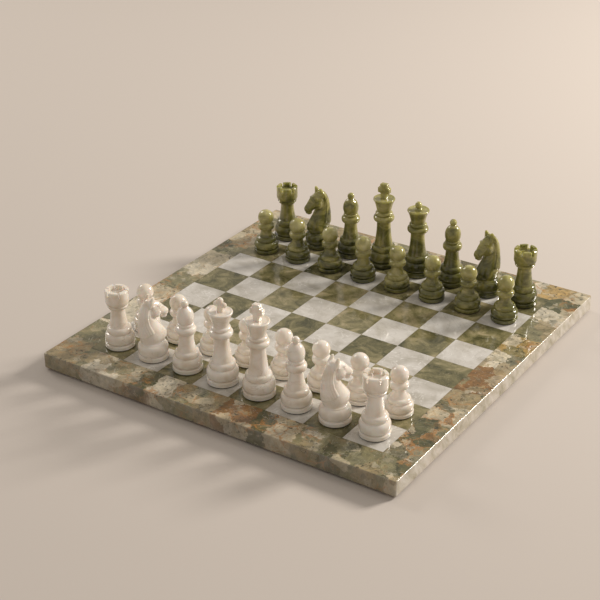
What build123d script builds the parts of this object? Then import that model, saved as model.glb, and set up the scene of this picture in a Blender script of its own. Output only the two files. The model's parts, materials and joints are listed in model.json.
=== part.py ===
from build123d import *
import os
from math import cos, radians, sin, sqrt

# A stone chess set on its board. Millimetres. The origin is the middle of the board's footprint on
# the surface it stands on, +X runs along the white back rank from file a to file h, +Y runs from the
# white side to the green side, +Z is up.

# Board
SQUARE = 41.0            # pitch of the squares
RANKS = 8
BORDER = 32.0            # width of the border strips
BOARD_THICK = 16.0
TILE_THICK = 9.0
TILE_JOINT = 0.2         # hairline joint between neighbouring squares
CORNER_RADIUS = 2.0      # upright corners of the board
TOP_EDGE = 1.0           # rounding of the border's outer top edge
BOTTOM_EDGE = 1.6        # rounding of the border's outer bottom edge
PAD_RADIUS = 9.0
PAD_THICK = 1.6
PAD_INSET = 16.0         # from the edge of the field to a pad's middle

FIELD = SQUARE * RANKS
BOARD = FIELD + 2 * BORDER
BOARD_TOP = PAD_THICK + BOARD_THICK

# Felt under the chessmen
FELT_THICK = 0.8
FELT_INSET = 1.0         # the felt's edge stands back from the stone's edge

# Base mouldings, the same family on every chessman
EDGE_ROUND = 0.8         # rounding of the base band's edges
GROOVE_DEPTH = 2.0       # groove between the base band and the big moulding
GROOVE_HEIGHT = 0.4
MOULDING_INSET = 0.1     # the big moulding's widest place against the base band
MOULDING_WIDEST = 0.42   # share of the big moulding's height below its widest place

# Base radius of each kind of chessman
PAWN_BASE = 13.4
ROOK_BASE = 14.4
KNIGHT_BASE = 14.8
BISHOP_BASE = 14.4
QUEEN_BASE = 15.2
KING_BASE = 15.4

# Rook's crown
ROOK_TOP = 61.0
ROOK_WALL = 11.5         # outer radius
ROOK_WELL = 7.9          # inner radius
ROOK_WELL_FLOOR = 56.4
ROOK_SLOTS = 6
ROOK_SLOT_WIDTH = {"white": 2.0, "green": 3.0}
ROOK_SLOT_TURN = {"white": 22.0, "green": 35.0}

# Finials: the kings' crosses and the white queen's bar run along the ranks
KING_CROWN_TOP = 76.6
KING_TOP = 92.7
CROSS_STEM = 6.8         # width below the arms
CROSS_HEAD = 8.2         # width above the arms
CROSS_ARMS = 13.4
CROSS_ARM_LOW = 82.4
CROSS_ARM_HIGH = 88.6
CROSS_THICK = 6.0
CROSS_ROUND = 1.25
CROWN_DISH = 0.5         # depth of the shallow dish in a king's or queen's crown
QUEEN_CROWN_TOP = 73.6
FLEURON_TOP = 87.2
FLEURON_STEM = 3.2       # radius
FLEURON_LOBE = 2.7       # radius of the bar and its round ends
FLEURON_REACH = 4.3      # a round end's middle from the axis
FLEURON_LOBE_HEIGHT = 80.4

# Knights look at the other side, turned a little to their own right
KNIGHT_FACING = {"white": 68.0, "green": -112.0}
KNIGHT_RISE = {"white": 1.0, "green": 1.08}
KNIGHT_WAIST = 18.0      # height where the carved horse leaves the turned foot

BACK_RANK = {
    "white": "rook knight bishop queen king bishop knight rook".split(),
    "green": "rook knight bishop king queen bishop knight rook".split(),
}
BACK_RANK_NUMBER = {"white": 1, "green": 8}
PAWN_RANK_NUMBER = {"white": 2, "green": 7}
FILES = "abcdefgh"
BASES = {
    "rook": ROOK_BASE,
    "knight": KNIGHT_BASE,
    "bishop": BISHOP_BASE,
    "queen": QUEEN_BASE,
    "king": KING_BASE,
}

os.makedirs("parts", exist_ok=True)


def save(shape, name):
    """Label a finished piece and write its STEP."""
    shape.label = name
    export_step(shape, "parts/" + name + ".step")


def centre_of(file_number, rank_number):
    """Middle of a square, files and ranks counted from 1."""
    middle = (RANKS + 1) / 2
    return (file_number - middle) * SQUARE, (rank_number - middle) * SQUARE


def upright(centre, facing=0.0):
    """Upright plane through a chessman's axis: local x forward, local y up from the board's top."""
    across = radians(facing)
    return Plane(
        origin=(centre[0], centre[1], BOARD_TOP),
        x_dir=(cos(across), sin(across), 0),
        z_dir=(sin(across), -cos(across), 0),
    )


def axis_of(centre):
    """Vertical axis of a chessman."""
    return Axis((centre[0], centre[1], 0), (0, 0, 1))


def draw(outline):
    """Half outline of a turned piece, closed along its axis.

    A step of one (r, z) pair is the end of a straight run. Two pairs are an arc's middle and its
    end, and more are points on a free curve, its end last.
    """
    here = (0, outline[0][-1])
    for step in outline:
        points = list(zip(step[::2], step[1::2]))
        if len(points) == 1:
            Line(here, *points)
        elif len(points) == 2:
            ThreePointArc(here, *points)
        else:
            Spline(here, *points)
        here = points[-1]
    Line(here, (0, outline[0][-1]))


def bulge(inner, widest):
    """Point halfway round the quarter turn between a ring's widest place and its inner end."""
    share = sin(radians(45))
    return inner[0] + (widest[0] - inner[0]) * share, widest[1] + (inner[1] - widest[1]) * share


def ring(start, widest, end):
    """Rounded ring: in to the groove at start, out to its widest place and back in to its end."""
    return [start, (*bulge(start, widest), *widest, *bulge(end, widest), *end)]


def ball(neck, middle, radius):
    """Ball centred on the axis, from the height where its neck meets it to its top."""
    slope = radius * cos(radians(45))
    return [
        (sqrt(radius**2 - (middle - neck)**2), neck),
        (slope, middle + slope, 0, middle + radius),
    ]


def foot(radius, band_top, shoulder):
    """Base band, groove and big rounded moulding, up to the moulding's shoulder (r, z)."""
    bevel = EDGE_ROUND * (1 - sin(radians(45)))
    groove = (radius - GROOVE_DEPTH, band_top + GROOVE_HEIGHT)
    middle = groove[1] + MOULDING_WIDEST * (shoulder[1] - groove[1])
    return [
        (radius - EDGE_ROUND, FELT_THICK),
        (radius - bevel, FELT_THICK + bevel, radius, FELT_THICK + EDGE_ROUND),
        (radius, band_top - EDGE_ROUND),
        (radius - bevel, band_top - bevel, radius - EDGE_ROUND, band_top),
    ] + ring(groove, (radius - MOULDING_INSET, middle), shoulder)


def pawn_outline():
    """Ball head on a collar and a flared body."""
    outline = foot(PAWN_BASE, 4.5, (11.7, 12.7))
    outline += ring((10.7, 13.2), (11.0, 14.6), (8.8, 17.7))
    outline += [(7.9, 18.2), (6.3, 21.8, 5.7, 26.0)]
    outline += ring((6.0, 26.3), (8.8, 29.6), (7.0, 33.0))
    return outline + ball(34.0, 39.7, 8.5)


def rook_outline():
    """Tower with a flared crown; the well and its slots are cut afterwards."""
    outline = foot(ROOK_BASE, 5.0, (12.6, 15.6))
    outline += ring((11.5, 16.1), (12.1, 18.2), (10.3, 21.9))
    outline += [
        (9.3, 22.5),
        (7.7, 31.0, 6.9, 41.4),
        (9.3, 42.6, 10.2, 44.8),
        (9.6, 45.3),
        (11.0, 47.4, ROOK_WALL, 50.6),
        (ROOK_WALL, ROOK_TOP - EDGE_ROUND),
        (ROOK_WALL - EDGE_ROUND, ROOK_TOP),
        (0, ROOK_TOP),
    ]
    return outline


def bishop_outline():
    """Mitre with a knob above a collar and a bead."""
    outline = foot(BISHOP_BASE, 5.2, (12.5, 15.0))
    outline += ring((11.3, 15.5), (11.7, 17.4), (10.0, 20.9))
    outline += [(9.1, 21.5), (7.5, 28.7, 6.7, 38.6)]
    outline += ring((7.2, 38.9), (9.9, 42.4), (8.3, 46.0))
    outline += ring((7.1, 46.6), (7.7, 48.0), (6.9, 49.4))
    outline += [(8.3, 55.6, 7.2, 61.0, 3.4, 65.4)]
    return outline + ball(66.2, 68.7, 3.7)


def crowned_body(base, rim, crown_top, rise):
    """Foot, shaft, collar, bead and flared crown that the queen and the king share.

    rise is how far the king's mouldings stand above the queen's.
    """
    low = rise / 4
    outline = foot(base, 5.7, (13.2, 16.2 + low))
    outline += ring((12.0, 16.7 + low), (12.6, 18.9 + low), (10.9, 22.5 + low))
    outline += [(9.9, 23.1 + low), (8.3, 32.0 + rise / 2, 7.4, 48.0 + rise)]
    outline += ring((8.0, 48.3 + rise), (11.1, 51.6 + rise), (9.3, 54.6 + rise))
    outline += ring((8.0, 55.1 + rise), (9.1, 56.8 + rise), (8.0, 58.5 + rise))
    outline += [
        (7.4, 58.9 + rise),
        (9.1, 66.4 + rise, rim - 0.6, crown_top - 2.4),
        (rim + 0.2, crown_top - 1.1, rim - 0.9, crown_top),
        (rim - 2.6, crown_top - CROWN_DISH),
    ]
    return outline


def queen_outline(side):
    """The green queen carries a ball, the white one a round-headed stem."""
    body = crowned_body(QUEEN_BASE, 11.3, QUEEN_CROWN_TOP, 0.0)
    if side == "green":
        pedestal = [
            (4.6, QUEEN_CROWN_TOP - CROWN_DISH),
            (4.1, QUEEN_CROWN_TOP + 0.7, 2.9, QUEEN_CROWN_TOP + 1.7),
        ]
        return body + pedestal + ball(76.2, 78.4, 3.6)
    stem = [(FLEURON_STEM, QUEEN_CROWN_TOP - CROWN_DISH)]
    return body + stem + ball(FLEURON_TOP - FLEURON_STEM, FLEURON_TOP - FLEURON_STEM, FLEURON_STEM)


def king_outline():
    """The cross is added afterwards."""
    return crowned_body(KING_BASE, 11.4, KING_CROWN_TOP, 2.6) + [(0, KING_CROWN_TOP - CROWN_DISH)]


def knight_foot_outline():
    """Turned foot under the carved horse."""
    return foot(KNIGHT_BASE, 5.2, (12.7, 16.2)) + [
        (11.4, 16.7),
        (11.0, 17.8, 10.2, 18.8),
        (0, 18.8),
    ]


def felt_disc(centre, base):
    """Felt glued under a chessman, lying on the board."""
    with BuildPart() as felt:
        with BuildSketch(Plane((centre[0], centre[1], BOARD_TOP))):
            Circle(base - FELT_INSET)
        extrude(amount=FELT_THICK)
    return felt.part


def turned(centre, outline):
    """A chessman that is only turned."""
    with BuildPart() as piece:
        with BuildSketch(upright(centre)):
            with BuildLine():
                draw(outline)
            make_face()
        revolve(axis=axis_of(centre))
    return piece.part


def rook(centre, side):
    """Rook: the turned tower with a well in its crown and slots through the wall."""
    with BuildPart() as piece:
        with BuildSketch(upright(centre)):
            with BuildLine():
                draw(rook_outline())
            make_face()
        revolve(axis=axis_of(centre))
        with BuildSketch(Plane((centre[0], centre[1], BOARD_TOP + ROOK_WELL_FLOOR))):
            Circle(ROOK_WELL)
            with PolarLocations(ROOK_WALL, ROOK_SLOTS, start_angle=ROOK_SLOT_TURN[side]):
                Rectangle(ROOK_WALL, ROOK_SLOT_WIDTH[side])
        extrude(amount=ROOK_TOP, mode=Mode.SUBTRACT)
    return piece.part


def king(centre):
    """King: the turned body with a cross, its edges softened."""
    with BuildPart() as cross:
        with BuildSketch(upright(centre)):
            with Locations((0, (KING_CROWN_TOP + KING_TOP) / 2 - 1)):
                Rectangle(CROSS_STEM, KING_TOP - KING_CROWN_TOP + 2)
            with Locations((0, (CROSS_ARM_LOW + CROSS_ARM_HIGH) / 2)):
                Rectangle(CROSS_ARMS, CROSS_ARM_HIGH - CROSS_ARM_LOW)
            with Locations((0, (CROSS_ARM_LOW + KING_TOP) / 2)):
                Rectangle(CROSS_HEAD, KING_TOP - CROSS_ARM_LOW)
        extrude(amount=CROSS_THICK / 2, both=True)
        fillet(cross.edges().filter_by(Axis.Y), CROSS_ROUND)
        fillet(cross.faces().filter_by(Axis.Y).edges(), CROSS_ROUND)
    with BuildPart() as piece:
        with BuildSketch(upright(centre)):
            with BuildLine():
                draw(king_outline())
            make_face()
        revolve(axis=axis_of(centre))
        add(cross.part)
    return piece.part


def white_queen(centre):
    """White queen: the turned body and stem, with a round-ended bar through the stem."""
    lobe_height = BOARD_TOP + FLEURON_LOBE_HEIGHT
    with BuildPart() as bar:
        with BuildSketch(Plane((centre[0], centre[1], lobe_height), (1, 0, 0), (0, -1, 0))):
            SlotCenterToCenter(2 * FLEURON_REACH, 2 * FLEURON_LOBE)
            Rectangle(BOARD, BOARD, align=(Align.CENTER, Align.MAX), mode=Mode.SUBTRACT)
        revolve(axis=Axis((centre[0], centre[1], lobe_height), (1, 0, 0)))
    with BuildPart() as piece:
        with BuildSketch(upright(centre)):
            with BuildLine():
                draw(queen_outline("white"))
            make_face()
        revolve(axis=axis_of(centre))
        add(bar.part)
    return piece.part


def knight(centre, side):
    """Knight: a horse's head and neck, cut to its side, front and top outlines, on a turned foot."""
    facing = KNIGHT_FACING[side]
    rise = KNIGHT_RISE[side]
    across = upright(centre, facing)
    ahead = upright(centre, facing + 90)

    def up(height):
        return KNIGHT_WAIST + (height - KNIGHT_WAIST) * rise

    with BuildPart() as piece:
        with BuildSketch(across):
            with BuildLine():
                Polyline((12.2, KNIGHT_WAIST), (-10.6, KNIGHT_WAIST))
                Spline((-10.6, KNIGHT_WAIST), (-13.9, up(27)), (-12.6, up(47)), (-4.4, up(61.2)))
                Line((-4.4, up(61.2)), (-1.0, up(65.4)))
                Line((-1.0, up(65.4)), (2.4, up(61.0)))
                Spline((2.4, up(61.0)), (9.8, up(56.4)), (16.2, up(50.0)), (17.5, up(45.4)))
                Spline((17.5, up(45.4)), (15.8, up(40.8)), (10.6, up(39.8)), (6.2, up(41.6)))
                Spline((6.2, up(41.6)), (11.8, up(31.0)), (14.6, up(24.0)), (12.2, KNIGHT_WAIST))
            make_face()
        extrude(amount=KNIGHT_BASE, both=True)
        with BuildSketch(ahead):
            with BuildLine():
                Polyline((-9.4, KNIGHT_WAIST), (9.4, KNIGHT_WAIST))
                Spline((9.4, KNIGHT_WAIST), (8.9, up(28)), (6.6, up(44)), (6.0, up(60.5)))
                Polyline((6.0, up(60.5)), (4.0, up(65.6)), (0, up(61.2)))
                Polyline((0, up(61.2)), (-4.0, up(65.6)), (-6.0, up(60.5)))
                Spline((-6.0, up(60.5)), (-6.6, up(44)), (-8.9, up(28)), (-9.4, KNIGHT_WAIST))
            make_face()
        extrude(amount=2 * KNIGHT_BASE, both=True, mode=Mode.INTERSECT)
        with BuildSketch(Plane((centre[0], centre[1], BOARD_TOP), across.x_dir)):
            with Locations((1.8, 0)):
                RectangleRounded(31.6, 18.8, 6.0)
        extrude(amount=2 * ROOK_TOP, mode=Mode.INTERSECT)
        with BuildSketch(upright(centre)):
            with BuildLine():
                draw(knight_foot_outline())
            make_face()
        revolve(axis=axis_of(centre))
    return piece.part


def border_strip(name, turn):
    """One mitred strip of the border; turn is 0 for the white side's strip, then anticlockwise."""
    wedge = Plane.XY.rotated((0, 0, turn))
    with BuildPart() as strip:
        with BuildSketch(Plane.XY.offset(PAD_THICK)):
            RectangleRounded(BOARD, BOARD, CORNER_RADIUS)
        extrude(amount=BOARD_THICK)
        fillet(strip.faces().sort_by(Axis.Z)[-1].edges(), TOP_EDGE)
        fillet(strip.faces().sort_by(Axis.Z)[0].edges(), BOTTOM_EDGE)
        with BuildSketch(Plane.XY):
            Rectangle(FIELD, FIELD)
        extrude(amount=2 * BOARD_TOP, mode=Mode.SUBTRACT)
        with BuildSketch(wedge):
            with BuildLine():
                Polyline((0, 0), (-BOARD, -BOARD), (BOARD, -BOARD), (0, 0))
            make_face()
        extrude(amount=2 * BOARD_TOP, mode=Mode.INTERSECT)
    save(strip.part, name)


def squares(name, first):
    """The 32 squares of one colour; first is the remainder that picks the colour."""
    middles = [
        centre_of(file_number, rank_number)
        for file_number in range(1, RANKS + 1)
        for rank_number in range(1, RANKS + 1)
        if (file_number + rank_number) % 2 == first
    ]
    with BuildPart() as tiles:
        with BuildSketch(Plane.XY.offset(BOARD_TOP - TILE_THICK)):
            with Locations(middles):
                Rectangle(SQUARE - TILE_JOINT, SQUARE - TILE_JOINT)
        extrude(amount=TILE_THICK)
    save(tiles.part, name)


def board():
    """Backing slab, border strips, squares and pads."""
    with BuildPart() as slab:
        with BuildSketch(Plane.XY.offset(PAD_THICK)):
            Rectangle(FIELD, FIELD)
        extrude(amount=BOARD_THICK - TILE_THICK)
    save(slab.part, "backing_slab")
    for turn, place in enumerate(("front", "right", "back", "left")):
        border_strip("border_" + place, 90 * turn)
    squares("dark_squares", 0)
    squares("light_squares", 1)
    pad_pitch = FIELD - 2 * PAD_INSET
    with BuildPart() as pads:
        with BuildSketch(Plane.XY):
            with GridLocations(pad_pitch, pad_pitch, 2, 2):
                Circle(PAD_RADIUS)
        extrude(amount=PAD_THICK)
    save(pads.part, "board_pads")


def stone_of(kind, side, centre):
    """The stone of one piece of the back rank."""
    if kind == "rook":
        return rook(centre, side)
    if kind == "knight":
        return knight(centre, side)
    if kind == "bishop":
        return turned(centre, bishop_outline())
    if kind == "king":
        return king(centre)
    if side == "white":
        return white_queen(centre)
    return turned(centre, queen_outline(side))


def chessmen(side):
    """The sixteen chessmen of one side, each standing on its own square."""
    for number, letter in enumerate(FILES, start=1):
        kind = BACK_RANK[side][number - 1]
        rank = BACK_RANK_NUMBER[side]
        name = side + "_" + kind + "_" + letter + str(rank)
        centre = centre_of(number, rank)
        save(stone_of(kind, side, centre), name)
        save(felt_disc(centre, BASES[kind]), "felt_" + name)
        rank = PAWN_RANK_NUMBER[side]
        centre = centre_of(number, rank)
        stone = turned(centre, pawn_outline())
        pawn = Compound([stone, felt_disc(centre, PAWN_BASE)])
        save(pawn, side + "_pawn_" + letter + str(rank))


board()
for side_name in BACK_RANK:
    chessmen(side_name)
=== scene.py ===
import json
from math import cos, radians, sin

import bmesh
import bpy
import numpy as np
from mathutils import Matrix, Vector


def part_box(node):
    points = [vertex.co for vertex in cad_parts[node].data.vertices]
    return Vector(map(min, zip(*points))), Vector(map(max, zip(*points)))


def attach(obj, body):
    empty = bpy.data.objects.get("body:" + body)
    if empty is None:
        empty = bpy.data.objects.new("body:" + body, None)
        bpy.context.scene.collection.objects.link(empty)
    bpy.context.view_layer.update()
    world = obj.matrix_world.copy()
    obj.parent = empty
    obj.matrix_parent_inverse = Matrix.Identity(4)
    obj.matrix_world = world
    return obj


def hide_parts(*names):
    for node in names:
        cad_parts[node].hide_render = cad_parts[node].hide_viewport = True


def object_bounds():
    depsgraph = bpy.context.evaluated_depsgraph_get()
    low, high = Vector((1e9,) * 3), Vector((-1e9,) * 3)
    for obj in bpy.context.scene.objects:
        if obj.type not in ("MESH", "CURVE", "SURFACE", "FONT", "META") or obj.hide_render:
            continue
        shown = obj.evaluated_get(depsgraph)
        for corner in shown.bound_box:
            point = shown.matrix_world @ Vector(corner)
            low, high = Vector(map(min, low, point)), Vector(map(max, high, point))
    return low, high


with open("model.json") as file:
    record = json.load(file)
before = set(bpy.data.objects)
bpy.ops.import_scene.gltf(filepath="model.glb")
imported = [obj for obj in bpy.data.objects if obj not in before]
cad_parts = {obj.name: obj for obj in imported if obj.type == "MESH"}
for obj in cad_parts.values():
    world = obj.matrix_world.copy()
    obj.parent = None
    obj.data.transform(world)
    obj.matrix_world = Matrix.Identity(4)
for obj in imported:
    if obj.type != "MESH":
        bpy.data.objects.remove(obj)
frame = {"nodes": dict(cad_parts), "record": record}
cad_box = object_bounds()

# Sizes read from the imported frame, in metres
SQUARE = (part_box("dark_squares")[1][0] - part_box("dark_squares")[0][0]) / 8
BOARD_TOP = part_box("dark_squares")[1][2]
BOARD_HALF = cad_box[1][0]
KING_HEIGHT = cad_box[1][2] - BOARD_TOP
PAWN_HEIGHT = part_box("green_pawn_a7")[1][2] - BOARD_TOP
FELT_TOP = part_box("felt_white_rook_a1")[1][2]

# Camera: place, aim, roll and lens
CAMERA_AT = Vector((0.6968, -1.0724, 0.7270))
CAMERA_AIM = Vector((-0.0490, 0.0267, 0.0176))
CAMERA_ROLL = -0.68      # degrees
LENS = 88.7              # mm on a 36 mm sensor

# Lights
LIGHT_DISTANCE = 2.6     # metres from the middle of the board
KEY_AZIMUTH = 55.0       # degrees from +X
KEY_ELEVATION = 30.0
KEY_SIZE = 0.55
KEY_POWER = 66.0
LIGHT_COLOUR = (1.0, 0.93, 0.85)
SIDE_AZIMUTH = 168.0
SIDE_ELEVATION = 34.0
SIDE_SIZE = 0.7
SIDE_POWER = 12.0
FILL_COLOUR = (0.96, 0.885, 0.80)
FILL_STRENGTH = 0.45
FLOOR_COLOUR = (0.60, 0.548, 0.503, 1.0)
FLOOR_HALF = 8.0


# ---------------------------------------------------------------- shader building

WEAR_SCALE = 220.0


class Shader:
    """A material under construction, with short calls for the nodes it is made of."""

    def __init__(self, name):
        self.material = bpy.data.materials.new(name)
        self.material.use_nodes = True
        self.tree = self.material.node_tree
        self.surface = self.tree.nodes["Principled BSDF"]

    def put(self, kind, values=(), **settings):
        """Add a node; values are (socket, constant or output) pairs."""
        node = self.tree.nodes.new(kind)
        for name, value in settings.items():
            setattr(node, name, value)
        for key, value in values:
            self.feed(node.inputs[key], value)
        return node

    def feed(self, socket, value):
        if isinstance(value, bpy.types.NodeSocket):
            self.tree.links.new(value, socket)
        elif value is not None:
            socket.default_value = value

    def place(self):
        """Position on the piece at rest, in metres."""
        return self.put("ShaderNodeTexCoord").outputs["Object"]

    def vector(self, operation, a, b=None, scale=None):
        values = [(0, a), (1, b)]
        if scale is not None:
            values.append(("Scale", scale))
        return self.put("ShaderNodeVectorMath", values, operation=operation).outputs["Vector"]

    def math(self, operation, a, b=None, clamp=False):
        values = [(0, a), (1, b)]
        return self.put("ShaderNodeMath", values, operation=operation, use_clamp=clamp).outputs[0]

    def noise(self, place, scale, detail=4.0, roughness=0.55, distortion=0.0):
        values = [("Vector", place), ("Scale", scale), ("Detail", detail)]
        values += [("Roughness", roughness), ("Distortion", distortion)]
        return self.put("ShaderNodeTexNoise", values)

    def bend(self, place, field, amount):
        """Place, pushed about by a noise's colour."""
        centred = self.vector("SUBTRACT", field, (0.5, 0.5, 0.5))
        return self.vector("ADD", place, self.vector("SCALE", centred, scale=amount))

    def ramp(self, factor, stops, interpolation="LINEAR"):
        """Colour ramp; stops are (place, colour) pairs."""
        node = self.put("ShaderNodeValToRGB", [("Fac", factor)])
        ramp = node.color_ramp
        ramp.interpolation = interpolation
        while len(ramp.elements) < len(stops):
            ramp.elements.new(0.5)
        for element, (place, colour) in zip(ramp.elements, stops):
            element.position = place
            element.color = (*colour, 1.0)
        return node.outputs["Color"]

    def grade(self, factor, low, high):
        """0 below low, 1 above high, smooth between."""
        values = [("Value", factor), ("From Min", low), ("From Max", high)]
        node = self.put("ShaderNodeMapRange", values, interpolation_type="SMOOTHSTEP")
        return node.outputs["Result"]

    def mix(self, factor, a, b, blend="MIX"):
        node = self.put("ShaderNodeMix", data_type="RGBA", blend_type=blend)
        self.feed(node.inputs["Factor"], factor)
        self.feed(node.inputs["A"], a if isinstance(a, bpy.types.NodeSocket) else (*a, 1.0))
        self.feed(node.inputs["B"], b if isinstance(b, bpy.types.NodeSocket) else (*b, 1.0))
        return node.outputs["Result"]

    def vein(self, place, scale, width, distortion=1.2):
        """Thin wandering lines, 1 on the line and 0 away from it."""
        field = self.noise(place, scale, 3.0, 0.6, distortion).outputs["Fac"]
        away = self.math("ABSOLUTE", self.math("SUBTRACT", field, 0.5))
        return self.math("SUBTRACT", 1.0, self.grade(away, 0.0, width))

    def finish(self, colour, roughness, bump=None, **constants):
        """Feed the surface; constants are its other sockets by name."""
        self.feed(self.surface.inputs["Base Color"], colour)
        self.feed(self.surface.inputs["Roughness"], roughness)
        if bump is not None:
            height, distance = bump
            values = [("Height", height), ("Distance", distance), ("Strength", 1.0)]
            normal = self.put("ShaderNodeBump", values).outputs["Normal"]
            self.feed(self.surface.inputs["Normal"], normal)
        for name, value in constants.items():
            self.surface.inputs[name.replace("_", " ")].default_value = value
        return self.material


def wear(shader, low, high):
    """Polish that varies a little over the surface."""
    field = shader.noise(shader.place(), WEAR_SCALE, 3.0).outputs["Fac"]
    values = [("Value", field), ("From Min", 0.3), ("From Max", 0.7), ("To Min", low), ("To Max", high)]
    return shader.put("ShaderNodeMapRange", values).outputs["Result"]


# ---------------------------------------------------------------- materials

WHITE_DEEP = (0.72, 0.62, 0.49)
WHITE_BODY = (0.84, 0.775, 0.69)
WHITE_PALE = (0.91, 0.87, 0.81)
WHITE_VEIN = (0.50, 0.39, 0.28)

GREEN_DEEP = (0.050, 0.052, 0.012)
GREEN_BODY = (0.150, 0.145, 0.036)
GREEN_LIGHT = (0.325, 0.295, 0.095)
GREEN_HONEY = (0.540, 0.500, 0.250)
GREEN_FLECK = (0.40, 0.40, 0.22)
GREEN_SMOKE = (0.040, 0.052, 0.022)
GREEN_LAYERS = [(0.30, GREEN_DEEP), (0.46, GREEN_BODY), (0.60, GREEN_LIGHT), (0.80, GREEN_HONEY)]

LIGHT_TONES = [(0.28, (0.44, 0.415, 0.36)), (0.50, (0.60, 0.575, 0.53)), (0.74, (0.73, 0.715, 0.68))]
LIGHT_VEIN = (0.84, 0.83, 0.80)
LIGHT_SHADE = (0.36, 0.35, 0.29)
OLIVE_SPECK = (0.040, 0.045, 0.020)
OLIVE_HAIR = (0.50, 0.42, 0.28)
OLIVE_TONES = [
    (0.30, (0.065, 0.064, 0.026)),
    (0.43, (0.150, 0.138, 0.062)),
    (0.54, (0.250, 0.222, 0.110)),
    (0.66, (0.390, 0.330, 0.195)),
    (0.80, (0.500, 0.430, 0.290)),
]


def white_onyx(name):
    """Milky onyx with faint honey clouds and thin veins."""
    s = Shader(name)
    place = s.place()
    clouds = s.noise(place, 55.0, 5.0, 0.5, 0.8).outputs["Fac"]
    colour = s.ramp(clouds, [(0.25, WHITE_DEEP), (0.48, WHITE_BODY), (0.72, WHITE_PALE)])
    squeezed = s.vector("MULTIPLY", place, (1.0, 1.0, 2.2))
    vein = s.vein(squeezed, 32.0, 0.018)
    patch = s.grade(s.noise(place, 26.0, 2.0).outputs["Fac"], 0.45, 0.62)
    colour = s.mix(s.math("MULTIPLY", vein, s.math("MULTIPLY", patch, 0.45)), colour, WHITE_VEIN)
    return s.finish(
        colour, wear(s, 0.10, 0.18), Subsurface_Weight=0.30, Subsurface_Scale=0.006,
        Subsurface_Radius=(1.0, 0.72, 0.50), IOR=1.52, Coat_Weight=0.60, Coat_Roughness=0.04,
    )


def green_onyx(name, tall):
    """Cloudy green onyx in wavy layers, with painted shade darker at the foot and painted light making it
    honey coloured at the height tall.
    """
    s = Shader(name)
    place = s.place()
    warp = s.noise(place, 24.0, 3.0, 0.5).outputs["Color"]
    warped = s.bend(place, warp, 0.030)
    layered = s.vector("MULTIPLY", warped, (0.75, 0.75, 1.2))
    layers = s.noise(layered, 58.0, 7.0, 0.60, 0.5).outputs["Fac"]
    height = s.put("ShaderNodeSeparateXYZ", [(0, place)]).outputs["Z"]
    # painted light and shade: the tone climbs with height, lighter and more honey coloured towards the top,
    # darker towards the foot
    rise = s.math("DIVIDE", s.math("SUBTRACT", height, BOARD_TOP), tall)
    share = s.math("MULTIPLY", s.math("SUBTRACT", rise, 0.42), 0.30)
    tone = s.math("ADD", layers, share, clamp=True)
    colour = s.ramp(tone, GREEN_LAYERS)
    smoke = s.grade(s.noise(warped, 130.0, 5.0, 0.6).outputs["Fac"], 0.52, 0.72)
    colour = s.mix(s.math("MULTIPLY", smoke, 0.28), colour, GREEN_SMOKE)
    fleck = s.grade(s.noise(place, 420.0, 2.0).outputs["Fac"], 0.66, 0.74)
    colour = s.mix(s.math("MULTIPLY", fleck, 0.30), colour, GREEN_FLECK)
    return s.finish(
        colour, wear(s, 0.08, 0.17), Subsurface_Weight=0.45, Subsurface_Scale=0.009,
        Subsurface_Radius=(0.9, 1.0, 0.25), IOR=1.54, Coat_Weight=0.45, Coat_Roughness=0.03,
    )


def tile_fields(s):
    """(position shifted tile by tile, a random value of the tile)."""
    place = s.place()
    cell = s.vector("FLOOR", s.vector("SCALE", place, scale=1.0 / SQUARE))
    flat = s.vector("MULTIPLY", cell, (1.0, 1.0, 0.0))
    chance = s.put("ShaderNodeTexWhiteNoise", [("Vector", flat)], noise_dimensions="3D")
    shift = s.vector("SCALE", chance.outputs["Color"], scale=3.0)
    return s.vector("ADD", place, shift), chance.outputs["Value"]


def light_marble():
    """Grey-white marble squares with soft clouds and crossing hair veins."""
    s = Shader("light_marble")
    place, chance = tile_fields(s)
    clouds = s.noise(place, 48.0, 6.0, 0.55, 0.5).outputs["Fac"]
    tone = s.math("ADD", clouds, s.math("MULTIPLY", s.math("SUBTRACT", chance, 0.5), 0.10))
    colour = s.ramp(tone, LIGHT_TONES)
    pale = s.vein(place, 34.0, 0.012, 1.6)
    colour = s.mix(s.math("MULTIPLY", pale, 0.60), colour, LIGHT_VEIN)
    grey = s.vein(place, 22.0, 0.016, 2.0)
    colour = s.mix(s.math("MULTIPLY", grey, 0.30), colour, LIGHT_SHADE)
    return s.finish(colour, wear(s, 0.07, 0.15), IOR=1.50, Coat_Weight=0.3, Coat_Roughness=0.03)


def green_marble():
    """Olive marble squares, mottled with tan clouds, each cut from another place in the block."""
    s = Shader("green_marble")
    place, chance = tile_fields(s)
    clouds = s.noise(place, 60.0, 8.0, 0.62, 0.7).outputs["Fac"]
    tone = s.math("ADD", clouds, s.math("MULTIPLY", s.math("SUBTRACT", chance, 0.55), 0.16))
    colour = s.ramp(tone, OLIVE_TONES)
    specks = s.grade(s.noise(place, 260.0, 4.0, 0.7).outputs["Fac"], 0.57, 0.70)
    colour = s.mix(s.math("MULTIPLY", specks, 0.50), colour, OLIVE_SPECK)
    hair = s.vein(place, 40.0, 0.010, 2.4)
    colour = s.mix(s.math("MULTIPLY", hair, 0.35), colour, OLIVE_HAIR)
    return s.finish(colour, wear(s, 0.07, 0.15), IOR=1.52, Coat_Weight=0.3, Coat_Roughness=0.03)


SAGE = (0.230, 0.215, 0.120)
MOSS = (0.095, 0.098, 0.046)
CREAM = (0.500, 0.440, 0.315)
PEARL = (0.600, 0.550, 0.440)
SAND = (0.330, 0.265, 0.150)
RUST = (0.230, 0.125, 0.045)
GOLD = (0.430, 0.300, 0.120)
PALE_THREAD = (0.62, 0.58, 0.48)
DARK_SPECK = (0.045, 0.045, 0.025)
RUST_STAIN = (0.260, 0.135, 0.050)
RUST_VEIN = (0.430, 0.200, 0.055)

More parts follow.
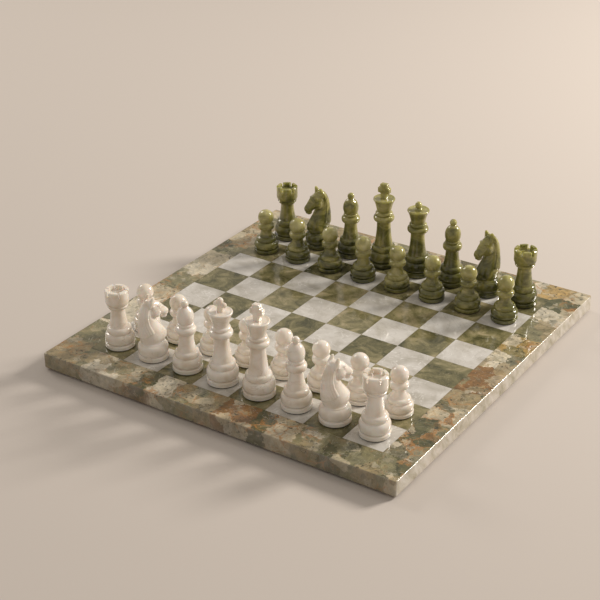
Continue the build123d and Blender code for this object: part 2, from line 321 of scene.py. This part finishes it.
# Each border strip's axis, and its colours from one end of the board (0) to the other (1)
BORDER_STRETCHES = {
    "front": (0, [(0.00, SAND), (0.08, SAGE), (0.12, PEARL), (0.22, CREAM), (0.27, MOSS), (0.32, PEARL),
                  (0.38, SAGE), (0.45, SAND), (0.51, RUST), (0.60, MOSS), (0.65, CREAM), (0.72, SAGE),
                  (0.80, MOSS), (0.86, SAGE), (0.97, CREAM)]),
    "right": (1, [(0.00, SAGE), (0.08, PEARL), (0.13, MOSS), (0.20, SAGE), (0.25, CREAM), (0.33, SAND),
                  (0.40, RUST), (0.47, RUST), (0.53, PEARL), (0.61, GOLD), (0.70, SAGE), (0.79, PEARL),
                  (0.86, MOSS), (0.93, CREAM)]),
    "left": (1, [(0.00, SAND), (0.10, SAGE), (0.20, PEARL), (0.30, PEARL), (0.38, CREAM), (0.44, SAGE),
                 (0.53, PEARL), (0.62, CREAM), (0.68, SAGE), (0.76, CREAM), (0.82, SAND), (0.88, SAGE),
                 (0.94, CREAM)]),
    "back": (0, [(0.00, CREAM), (0.14, SAGE), (0.22, SAND), (0.34, PEARL), (0.42, SAGE), (0.52, CREAM),
                 (0.60, RUST), (0.68, SAGE), (0.80, PEARL), (0.88, GOLD), (0.95, CREAM)]),
}
# How much of each strip's outer face is streaked, and how light its streaks are; the streaks are the stone's
# own, but the lightness per side is painted light on the lit right face and painted shade on the front face
EDGE_FACE_AND_PAINTED_LIGHT = {"front": (0.45, 0.50), "right": (0.88, 1.05), "left": (0.60, 0.60), "back": (0.60, 0.80)}
EDGE_BAND = (0.0010, 0.0003)     # how far inside the board's outline the outer face starts and is full
STREAKS = [(0.30, (0.34, 0.31, 0.22)), (0.45, (0.50, 0.46, 0.37)),
           (0.58, (0.62, 0.58, 0.51)), (0.75, (0.72, 0.69, 0.63))]
MOTTLE = [(0.28, (0.30, 0.32, 0.26)), (0.46, (0.85, 0.85, 0.83)), (0.72, (1.60, 1.54, 1.42))]
STONES = [(0.0, MOSS), (0.14, CREAM), (0.32, SAGE), (0.52, PEARL), (0.66, SAND), (0.84, SAGE), (0.94, RUST)]


def clasts(s, place, scale, colour, share, strength):
    """Angular stones of other colours set into a share of the surface; also their seams."""
    stones = s.put("ShaderNodeTexVoronoi", [("Vector", place), ("Scale", scale)], feature="F1")
    chance = s.put("ShaderNodeSeparateColor", [(0, stones.outputs["Color"])])
    other = s.ramp(chance.outputs[0], STONES, "CONSTANT")
    swap = s.grade(chance.outputs[1], 1.0 - share, 1.04 - share)
    edges = s.put("ShaderNodeTexVoronoi", [("Vector", place), ("Scale", scale)], feature="DISTANCE_TO_EDGE")
    seam = s.math("SUBTRACT", 1.0, s.grade(edges.outputs["Distance"], 0.0, 0.07))
    return s.mix(s.math("MULTIPLY", swap, strength), colour, other), seam


def sawn_edge(s, place, colour, share, tone):
    """Add the strip's outer face, which has steep streaks, to its colour; its share and lightness per side
    are partly painted light and painted shade.
    """
    split = s.put("ShaderNodeSeparateXYZ", [(0, place)])
    reach = s.math("MAXIMUM", *(s.math("ABSOLUTE", split.outputs[axis]) for axis in "XY"))
    outer = s.grade(reach, *(BOARD_HALF - inset for inset in EDGE_BAND))
    steep = s.put("ShaderNodeMapping", [("Vector", place), ("Scale", (1.0, 1.0, 6.0))], vector_type="TEXTURE")
    steep.inputs["Rotation"].default_value = (0.55, 0.55, 0.0)
    streaks = s.noise(steep.outputs["Vector"], 120.0, 6.0, 0.6, 0.4).outputs["Fac"]
    # tone lightens or darkens the streaked face per side: painted light and painted shade
    face = s.ramp(streaks, [(stop, [tone * value for value in grey]) for stop, grey in STREAKS])
    return s.mix(s.math("MULTIPLY", outer, share), colour, face)


def breccia(strip):
    """Polished breccia: angular stones of many colours, rust veins between them, dark specks."""
    axis, stretches = BORDER_STRETCHES[strip]
    s = Shader("breccia_" + strip)
    place = s.place()
    wander = s.noise(place, 60.0, 5.0, 0.65).outputs["Color"]
    bent = s.bend(place, wander, 0.022)
    along = s.put("ShaderNodeSeparateXYZ", [(0, bent)]).outputs[axis]
    share = s.math("DIVIDE", s.math("ADD", along, BOARD_HALF), 2 * BOARD_HALF)
    base = s.ramp(share, stretches, "CONSTANT")
    colour, seam = clasts(s, bent, 58.0, base, 0.42, 0.80)
    colour, small_seam = clasts(s, bent, 170.0, colour, 0.22, 0.40)
    mottle = s.noise(bent, 120.0, 8.0, 0.68, 0.3).outputs["Fac"]
    colour = s.mix(0.90, colour, s.ramp(mottle, MOTTLE), "MULTIPLY")
    rusty = s.grade(s.noise(place, 30.0, 3.0, 0.6).outputs["Fac"], 0.48, 0.60)
    rust = s.math("MULTIPLY", s.math("MAXIMUM", seam, s.math("MULTIPLY", small_seam, 0.5)), rusty)
    colour = s.mix(s.math("MULTIPLY", rust, 0.85), colour, RUST_VEIN)
    stain = s.grade(s.noise(bent, 85.0, 7.0, 0.72, 0.8).outputs["Fac"], 0.60, 0.68)
    colour = s.mix(s.math("MULTIPLY", s.math("MULTIPLY", stain, rusty), 0.75), colour, RUST_STAIN)
    specks = s.grade(s.noise(place, 270.0, 3.0, 0.65).outputs["Fac"], 0.59, 0.63)
    speckled = s.grade(s.noise(place, 36.0, 2.0).outputs["Fac"], 0.47, 0.55)
    colour = s.mix(s.math("MULTIPLY", s.math("MULTIPLY", specks, speckled), 0.85), colour, DARK_SPECK)
    thread = s.vein(place, 30.0, 0.007, 2.4)
    colour = s.mix(s.math("MULTIPLY", thread, 0.50), colour, PALE_THREAD)
    # outer faces: the stone's own streaks, with painted light and painted shade per side
    colour = sawn_edge(s, place, colour, *EDGE_FACE_AND_PAINTED_LIGHT[strip])
    return s.finish(colour, wear(s, 0.08, 0.18), IOR=1.52, Coat_Weight=0.3, Coat_Roughness=0.03)


def sawn_stone():
    """Sawn, unpolished backing stone with saw marks."""
    s = Shader("backing_stone")
    place = s.place()
    clouds = s.noise(place, 70.0, 6.0, 0.6).outputs["Fac"]
    colour = s.ramp(clouds, [(0.3, (0.20, 0.18, 0.14)), (0.7, (0.38, 0.35, 0.29))])
    drawn = s.vector("MULTIPLY", place, (1.0, 0.05, 1.0))
    marks = s.noise(drawn, 700.0, 3.0).outputs["Fac"]
    return s.finish(colour, 0.75, (marks, 0.0002))


FELT_COLOUR = (0.025, 0.026, 0.016, 1.0)
FELT_MARGIN = 0.00001    # the pawns' felt is told from the stone just above its own top


def felt_cloth():
    """Dark felt: matted fibres with a soft sheen."""
    s = Shader("felt")
    place = s.place()
    fibres = s.noise(place, 2600.0, 4.0, 0.7, 1.5).outputs["Fac"]
    colour = s.ramp(fibres, [(0.3, (0.012, 0.013, 0.008)), (0.7, (0.045, 0.045, 0.028))])
    return s.finish(colour, 0.95, (fibres, 0.0003), Sheen_Weight=0.4, Sheen_Roughness=0.5)


def pad_rubber():
    """Black rubber with a fine moulded grain."""
    s = Shader("pad_rubber")
    grain = s.noise(s.place(), 1800.0, 3.0).outputs["Fac"]
    colour = s.ramp(grain, [(0.3, (0.014, 0.014, 0.014)), (0.7, (0.035, 0.034, 0.032))])
    return s.finish(colour, 0.7, (grain, 0.0002))


# ---------------------------------------------------------------- carved horse, millimetres

KNIGHTS = ("white_knight_b1", "white_knight_g1", "green_knight_b8", "green_knight_g8")
KNIGHT_FACING = {"white": radians(68.0), "green": radians(-112.0)}
KNIGHT_RISE = {"white": 1.0, "green": 1.08}

# The horse looks along +x; the cut where it joins the turned foot is at WAIST
WAIST = 18.0
FOOT_INSET = 0.3         # how far below the waist the foot is cut off, inside the neck
VOXEL = 0.34
RING = 40

# height, middle, half length, half width
NECK = [
    (15.0, 0.0, 9.6, 8.8),
    (18.4, 0.4, 11.6, 9.3),
    (22.0, 0.9, 13.6, 9.5),
    (26.0, 0.4, 14.2, 9.1),
    (31.0, -1.4, 12.8, 8.2),
    (36.0, -3.3, 10.6, 7.2),
    (41.0, -4.4, 8.9, 6.4),
    (46.0, -4.4, 8.3, 5.9),
    (51.0, -3.6, 7.9, 5.6),
    (55.0, -2.4, 7.1, 5.4),
    (58.5, -1.4, 5.4, 4.8),
    (61.2, -0.9, 2.6, 3.0),
]
# along, height, half height, half width, from the poll to the nose
HEAD = [
    (-3.6, 55.6, 5.0, 4.8),
    (0.2, 54.0, 7.0, 5.9),
    (4.4, 51.4, 7.4, 5.8),
    (8.4, 48.9, 6.2, 5.0),
    (11.6, 46.6, 5.1, 4.3),
    (14.2, 44.9, 4.6, 4.1),
    (16.0, 43.9, 3.7, 3.4),
    (17.0, 43.3, 2.0, 2.0),
]
EAR = [(-1.8, 55.5, 3.4, 2.4), (-1.0, 59.6, 2.9, 2.3), (-0.2, 62.8, 2.2, 1.8), (0.4, 65.0, 1.1, 0.9)]
EAR_SIDE = 4.4
# (along, side, height), (half sizes): cheeks, brows, eyes, nostrils and chin
LUMPS = [
    ((3.0, 2.6, 48.6), (6.2, 4.0, 6.2)),
    ((5.8, 4.1, 55.2), (2.8, 1.5, 1.3)),
    ((6.6, 4.5, 53.2), (1.5, 1.2, 1.1)),
    ((15.0, 2.4, 45.4), (1.9, 1.6, 1.6)),
    ((12.8, 1.2, 41.2), (3.2, 2.0, 1.7)),
]


def loft(mesh, rings):
    """A closed skin through rings of points."""
    loops = [[mesh.verts.new(point) for point in ring] for ring in rings]
    for low, high in zip(loops, loops[1:]):
        for k in range(len(low)):
            after = (k + 1) % len(low)
            mesh.faces.new((low[k], low[after], high[after], high[k]))
    mesh.faces.new(loops[0][::-1])
    mesh.faces.new(loops[-1])


def oval(middle, first, second):
    """Ring of points about middle, with two half axes."""
    turns = [2 * np.pi * k / RING for k in range(RING)]
    return [middle + first * cos(turn) + second * sin(turn) for turn in turns]


def horse_blank(foot):
    """Foot, neck, head, ears and lumps as overlapping closed shells in one mesh."""
    mesh = bmesh.new()
    mesh.from_mesh(foot)
    x_axis, y_axis = Vector((1, 0, 0)), Vector((0, 1, 0))
    loft(mesh, [oval(Vector((m, 0, z)), x_axis * a, y_axis * b) for z, m, a, b in NECK])
    lean = (Vector((HEAD[-1][0], 0, HEAD[-1][1])) - Vector((HEAD[0][0], 0, HEAD[0][1]))).normalized()
    up = Vector((-lean.z, 0, lean.x))
    loft(mesh, [oval(Vector((x, 0, z)), up * a, y_axis * b) for x, z, a, b in HEAD][::-1])
    for side in (-1, 1):
        rings = [oval(Vector((x, side * EAR_SIDE, z)), x_axis * a, y_axis * b) for x, z, a, b in EAR]
        loft(mesh, rings)
        for (x, y, z), sizes in LUMPS:
            put = Matrix.Translation((x, side * y, z)) @ Matrix.Diagonal((*sizes, 1.0))
            bmesh.ops.create_uvsphere(mesh, u_segments=28, v_segments=16, radius=1.0, matrix=put)
    return mesh


def welded(mesh):
    """One closed, softened skin round all the shells."""
    data = bpy.data.meshes.new("horse")
    bmesh.ops.recalc_face_normals(mesh, faces=mesh.faces)
    mesh.to_mesh(data)
    mesh.free()
    blank = bpy.data.objects.new("horse_blank", data)
    bpy.context.scene.collection.objects.link(blank)
    remesh = blank.modifiers.new("skin", "REMESH")
    remesh.mode = "VOXEL"
    remesh.voxel_size = VOXEL
    smooth = blank.modifiers.new("soften", "SMOOTH")
    smooth.factor = 0.5
    smooth.iterations = 5
    bpy.context.view_layer.update()
    shape = blank.evaluated_get(bpy.context.evaluated_depsgraph_get())
    skin = bpy.data.meshes.new_from_object(shape)
    bpy.data.objects.remove(blank)
    return skin


def groove(distance, cut):
    """Depth of a round-bottomed cut at a distance from its middle line."""
    depth, width = cut
    return depth * np.exp(-(distance / width) ** 2)


def step(value, low, high):
    """0 below low, 1 above high, smooth between."""
    share = np.clip((value - low) / (high - low), 0.0, 1.0)
    return share * share * (3 - 2 * share)


def track(points, x, z):
    """Distance from each (x, z) to a chain of straight runs."""
    best = np.full(x.shape, 1e9)
    for (x0, z0), (x1, z1) in zip(points, points[1:]):
        run = (x1 - x0) ** 2 + (z1 - z0) ** 2
        share = np.clip(((x - x0) * (x1 - x0) + (z - z0) * (z1 - z0)) / run, 0.0, 1.0)
        away = np.hypot(x - x0 - share * (x1 - x0), z - z0 - share * (z1 - z0))
        best = np.minimum(best, away)
    return best


# How high each side's mane stands, and how deep its strands are cut
MANE = {"white": (0.60, 0.15), "green": (0.95, 0.40)}
MANE_EDGE = [(0.2, 61.0), (-2.6, 57.0), (-5.2, 51.0), (-6.0, 45.0), (-5.0, 38.5), (-2.6, 32.5), (-1.2, 29.0)]
MOUTH = [(17.6, 42.4), (14.2, 42.9), (11.2, 44.0)]
JAW = [(8.6, 43.6), (5.4, 41.9), (1.0, 42.2), (-2.6, 45.4), (-3.4, 50.0), (-2.4, 54.4)]
NOSTRIL = (16.0, 45.6)
EAR_HOLLOW = [(1.4, 58.6), (1.8, 63.0)]
MANE_TOP = (60.0, 62.5)
MANE_BACK = -14.0
MANE_HEM = 24.0
MANE_HEM_SLOPE = 0.42
STRAND_PITCH = 2.3
# Depth and width of the carved lines
MOUTH_CUT = (0.70, 0.50)
JAW_CUT = (0.40, 0.90)
NOSTRIL_CUT = (0.80, 0.70)
EAR_CUT = (0.75, 0.75)
# Where they fade in: side to side, along the muzzle, and up the ear
FLANK = (1.6, 2.6)
NOSTRIL_FLANK = (1.2, 2.0)
MOUTH_CORNER = (10.5, 12.0)
EAR_ROOT = (58, 60)
EAR_FRONT = (0.3, 0.8)


def vertex_rows(data, field):
    """A mesh's vertex places or normals, as one row each."""
    values = np.empty(len(data.vertices) * 3)
    data.vertices.foreach_get(field, values)
    return values.reshape(-1, 3)


def mane_push(x, z, mane_height, strand_depth):
    """How far the mane, with its strands, stands out of the neck."""
    fronts, heights = zip(*MANE_EDGE[::-1])
    behind = np.interp(z, heights, fronts) - x
    hem = MANE_HEM + MANE_HEM_SLOPE * (x - MANE_BACK)
    mane = step(behind, -0.2, 0.9) * step(z - hem, -0.2, 1.2) * (1 - step(z, *MANE_TOP))
    swirl = behind + 0.9 * np.sin(z * 0.16)
    strands = 0.5 + 0.5 * np.cos(2 * np.pi * swirl / STRAND_PITCH)
    return mane * (mane_height - strand_depth * strands ** 3)


def carved(blank, mane_height, strand_depth):
    """A copy with the mane raised, and the mouth, jaw line, nostrils and ears cut."""
    skin = blank.copy()
    points = vertex_rows(skin, "co")
    normals = vertex_rows(skin, "normal")
    x, y, z = points.T
    push = mane_push(x, z, mane_height, strand_depth)
    side = step(np.abs(y), *FLANK)
    push -= groove(track(MOUTH, x, z), MOUTH_CUT) * side * step(x, *MOUTH_CORNER)
    push -= groove(track(JAW, x, z), JAW_CUT) * side
    from_nostril = np.hypot(x - NOSTRIL[0], z - NOSTRIL[1])
    push -= groove(from_nostril, NOSTRIL_CUT) * step(np.abs(y), *NOSTRIL_FLANK)
    ear_front = step(normals[:, 0], *EAR_FRONT)
    push -= groove(track(EAR_HOLLOW, x, z), EAR_CUT) * ear_front * step(z, *EAR_ROOT)
    points += normals * push[:, None]
    skin.vertices.foreach_set("co", points.ravel())
    skin.update()
    return skin


def turned_foot(node, middle, facing):
    """The CAD knight's turned foot alone, in the horse's own millimetres, closed at the waist."""
    mesh = bmesh.new()
    mesh.from_mesh(frame["nodes"][node].data)
    home = Matrix.Rotation(-facing, 4, "Z") @ Matrix.Translation(-middle)
    mesh.transform(Matrix.Scale(1000.0, 4) @ home)
    bmesh.ops.remove_doubles(mesh, verts=mesh.verts, dist=1e-4)
    everything = mesh.verts[:] + mesh.edges[:] + mesh.faces[:]
    cut = bmesh.ops.bisect_plane(
        mesh, geom=everything, plane_co=(0, 0, WAIST - FOOT_INSET), plane_no=(0, 0, 1), clear_outer=True
    )
    rim = [part for part in cut["geom_cut"] if isinstance(part, bmesh.types.BMEdge)]
    bmesh.ops.holes_fill(mesh, edges=rim, sides=0)
    foot = bpy.data.meshes.new("foot")
    mesh.to_mesh(foot)
    mesh.free()
    return foot


def square_middle(node):
    """Axis of a chessman, at the board's top, from its felt disc."""
    low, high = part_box("felt_" + node)
    return Vector(((low[0] + high[0]) / 2, (low[1] + high[1]) / 2, BOARD_TOP))


def stretched(skin, rise):
    """A copy of the skin, taller above the waist."""
    data = skin.copy()
    points = vertex_rows(data, "co")
    points[:, 2] += np.maximum(points[:, 2] - WAIST, 0.0) * (rise - 1.0)
    data.vertices.foreach_set("co", points.ravel())
    return data


def knight_piece(node, skin, material):
    """One carved knight in the place of its CAD node."""
    side = node.split("_")[0]
    data = stretched(skin, KNIGHT_RISE[side])
    place = Matrix.Translation(square_middle(node)) @ Matrix.Rotation(KNIGHT_FACING[side], 4, "Z")
    data.transform(place @ Matrix.Scale(0.001, 4))
    data.polygons.foreach_set("use_smooth", [True] * len(data.polygons))
    data.materials.clear()
    data.materials.append(material)
    piece = bpy.data.objects.new("carved_" + node, data)
    bpy.context.scene.collection.objects.link(piece)
    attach(piece, node)
    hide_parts(node)


def knights(materials):
    """The four carved knights, all from one carving, the green ones a little taller."""
    pattern = KNIGHTS[0]
    foot = turned_foot(pattern, square_middle(pattern), KNIGHT_FACING["white"])
    blank = welded(horse_blank(foot))
    skins = {side: carved(blank, *mane) for side, mane in MANE.items()}
    for node in KNIGHTS:
        side = node.split("_")[0]
        knight_piece(node, skins[side], materials[side + "_onyx"])


# ---------------------------------------------------------------- finish on the CAD nodes

def felted(material):
    """A pawn's node holds its stone and its felt disc: add the felt, told apart by height."""
    tree = material.node_tree
    felt = tree.nodes.new("ShaderNodeBsdfPrincipled")
    felt.inputs["Base Color"].default_value = FELT_COLOUR
    felt.inputs["Roughness"].default_value = 0.95
    where = tree.nodes.new("ShaderNodeTexCoord")
    split = tree.nodes.new("ShaderNodeSeparateXYZ")
    above = tree.nodes.new("ShaderNodeMath")
    above.operation = "GREATER_THAN"
    above.inputs[1].default_value = FELT_TOP + FELT_MARGIN
    choose = tree.nodes.new("ShaderNodeMixShader")
    tree.links.new(where.outputs["Object"], split.inputs[0])
    tree.links.new(split.outputs["Z"], above.inputs[0])
    tree.links.new(above.outputs[0], choose.inputs["Fac"])
    tree.links.new(felt.outputs[0], choose.inputs[1])
    tree.links.new(tree.nodes["Principled BSDF"].outputs[0], choose.inputs[2])
    tree.links.new(choose.outputs[0], tree.nodes["Material Output"].inputs["Surface"])
    return material


def dress(node, material):
    """Give a CAD node its material."""
    data = frame["nodes"][node].data
    data.materials.clear()
    data.materials.append(material)


def finish_nodes():
    """Materials for every CAD node, and the carved knights."""
    materials = {
        "white_onyx": white_onyx("white_onyx"),
        "green_onyx": green_onyx("green_onyx", KING_HEIGHT),
        "light_marble": light_marble(),
        "green_marble": green_marble(),
        "backing_stone": sawn_stone(),
        "felt": felt_cloth(),
        "pad_rubber": pad_rubber(),
    }
    pawns = {
        "white": felted(white_onyx("white_pawn_onyx")),
        "green": felted(green_onyx("green_pawn_onyx", PAWN_HEIGHT)),
    }
    for part in frame["record"]["subparts"]:
        node, slot = part["node"], part["material_slot"]
        if "_pawn_" in node:
            dress(node, pawns[node.split("_")[0]])
        elif slot == "border_stone":
            dress(node, breccia(node.split("_")[1]))
        else:
            dress(node, materials[slot])
    knights(materials)


# ---------------------------------------------------------------- room, light and camera

def floor():
    """Plain pale floor."""
    mesh = bmesh.new()
    bmesh.ops.create_grid(mesh, x_segments=1, y_segments=1, size=FLOOR_HALF)
    data = bpy.data.meshes.new("floor")
    mesh.to_mesh(data)
    mesh.free()
    plane = bpy.data.objects.new("floor", data)
    bpy.context.scene.collection.objects.link(plane)
    s = Shader("floor")
    plane.data.materials.append(s.finish(FLOOR_COLOUR, 0.85))


def area_light(name, azimuth, elevation, size, power):
    """Square soft light aimed at the middle of the board."""
    away = Vector((
        cos(radians(elevation)) * cos(radians(azimuth)),
        cos(radians(elevation)) * sin(radians(azimuth)),
        sin(radians(elevation)),
    ))
    data = bpy.data.lights.new(name, "AREA")
    data.size = size
    data.energy = power
    data.color = LIGHT_COLOUR
    light = bpy.data.objects.new(name, data)
    light.location = away * LIGHT_DISTANCE
    light.rotation_euler = away.to_track_quat("Z", "Y").to_euler()
    bpy.context.scene.collection.objects.link(light)


def lights():
    """Key and side lights, and an even fill from all round."""
    area_light("key", KEY_AZIMUTH, KEY_ELEVATION, KEY_SIZE, KEY_POWER)
    area_light("side", SIDE_AZIMUTH, SIDE_ELEVATION, SIDE_SIZE, SIDE_POWER)
    world = bpy.data.worlds.new("studio")
    world.use_nodes = True
    world.node_tree.nodes["Background"].inputs["Color"].default_value = (*FILL_COLOUR, 1.0)
    world.node_tree.nodes["Background"].inputs["Strength"].default_value = FILL_STRENGTH
    bpy.context.scene.world = world


def camera():
    data = bpy.data.cameras.new("camera")
    data.lens = LENS
    data.sensor_width = 36.0
    data.clip_start = 0.01
    data.clip_end = 50.0
    eye = bpy.data.objects.new("camera", data)
    eye.location = CAMERA_AT
    level = (CAMERA_AIM - CAMERA_AT).to_track_quat("-Z", "Y").to_matrix()
    eye.rotation_euler = (level @ Matrix.Rotation(radians(CAMERA_ROLL), 3, "Z")).to_euler()
    bpy.context.scene.collection.objects.link(eye)
    bpy.context.scene.camera = eye


bpy.context.scene.view_settings.view_transform = "Standard"
camera()
floor()
lights()
finish_nodes()
